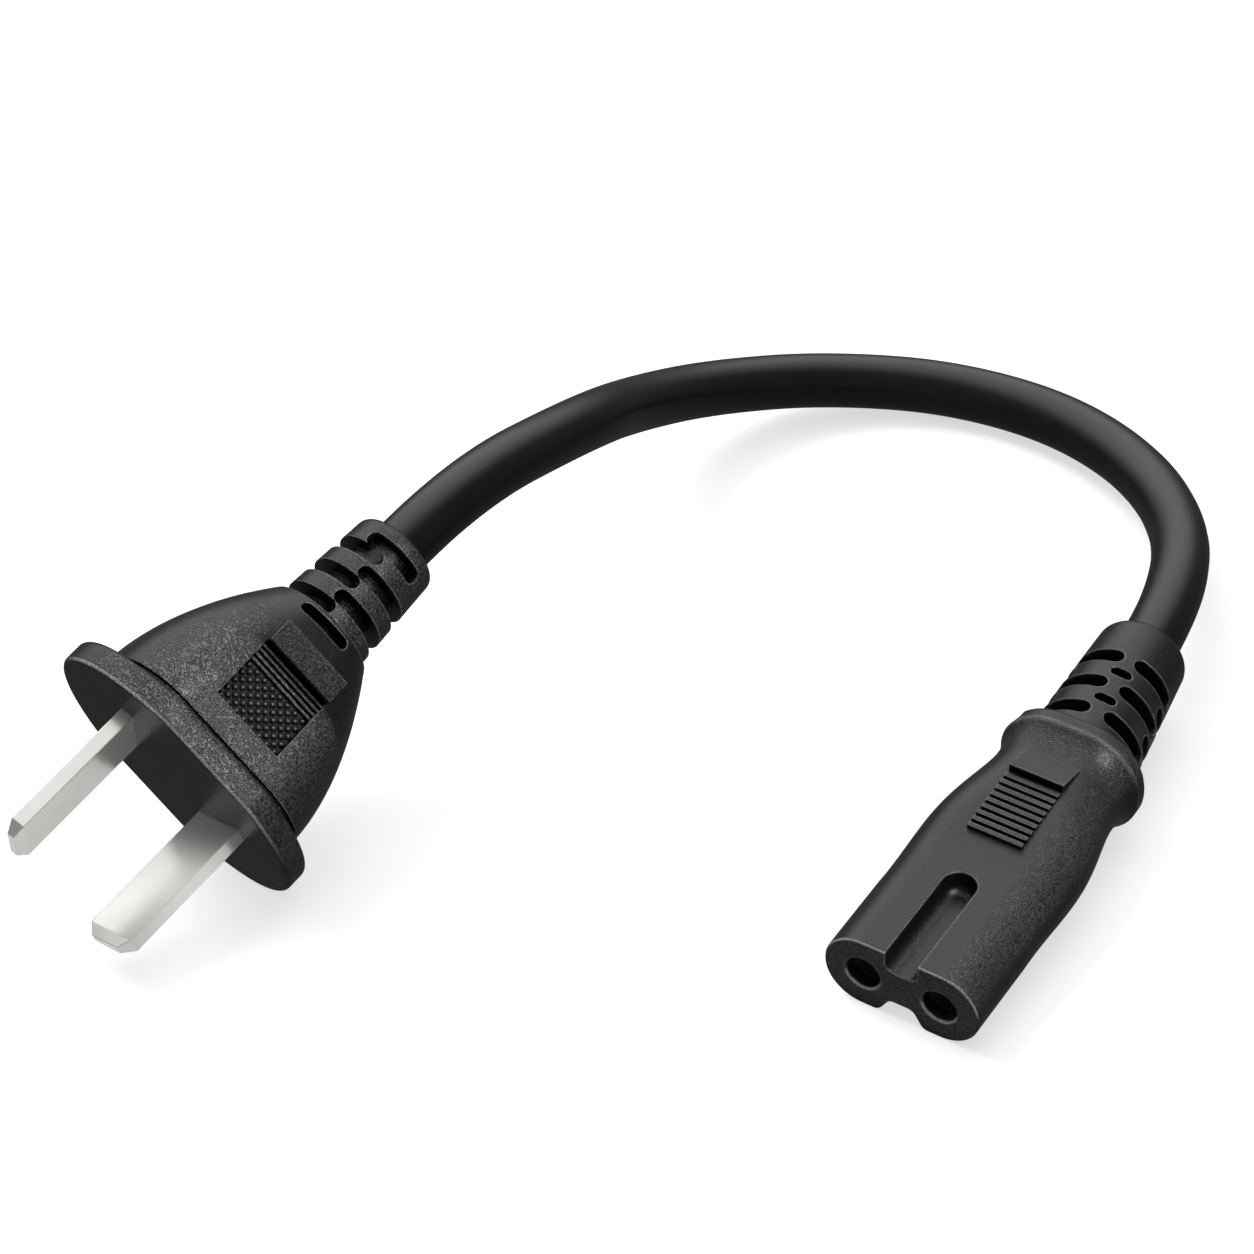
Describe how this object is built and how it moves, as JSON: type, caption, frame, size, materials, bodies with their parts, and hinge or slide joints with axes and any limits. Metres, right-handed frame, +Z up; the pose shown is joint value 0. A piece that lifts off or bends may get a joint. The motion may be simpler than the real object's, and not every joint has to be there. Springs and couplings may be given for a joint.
{
  "type": "power cord",
  "caption": "Short black mains cord with a moulded two-blade plug and a figure-8 appliance connector, both with slotted strain reliefs.",
  "frame": {"origin": "on the floor, under the middle of the box round the two mouldings and the blades, leaving out the cord's own sheath", "axes": "+Z up from the floor that the cord lies on, +X across the two mouldings from the plug to the connector, +Y from the fronts of the mouldings towards the cord's loop"},
  "size_m": [0.1259, 0.1094, 0.028],
  "materials": {
    "plug_overmould": "moulded, finely grained on top, satin at the sides",
    "connector_overmould": "moulded, satin with fine grain",
    "sheath": "smooth satin",
    "bridge": "plain",
    "carrier": "plain",
    "blade": "nickel plated, satin",
    "contact": "bright",
    "core_brown": "plain",
    "core_blue": "plain",
    "strands": "bare copper"
  },
  "bodies": {
    "root": {"plug_shell": "plug_overmould", "connector_shell": "connector_overmould", "cord_sheath": "sheath", "plug_bridge": "bridge", "connector_carrier": "carrier", "plug_blade_left": "blade", "plug_blade_right": "blade", "contact_left": "contact", "contact_right": "contact", "plug_core_brown": "core_brown", "plug_core_blue": "core_blue", "connector_core_brown": "core_brown", "connector_core_blue": "core_blue", "plug_strands_brown": "strands", "plug_strands_blue": "strands", "connector_strands_brown": "strands", "connector_strands_blue": "strands"}
  },
  "joints": []
}
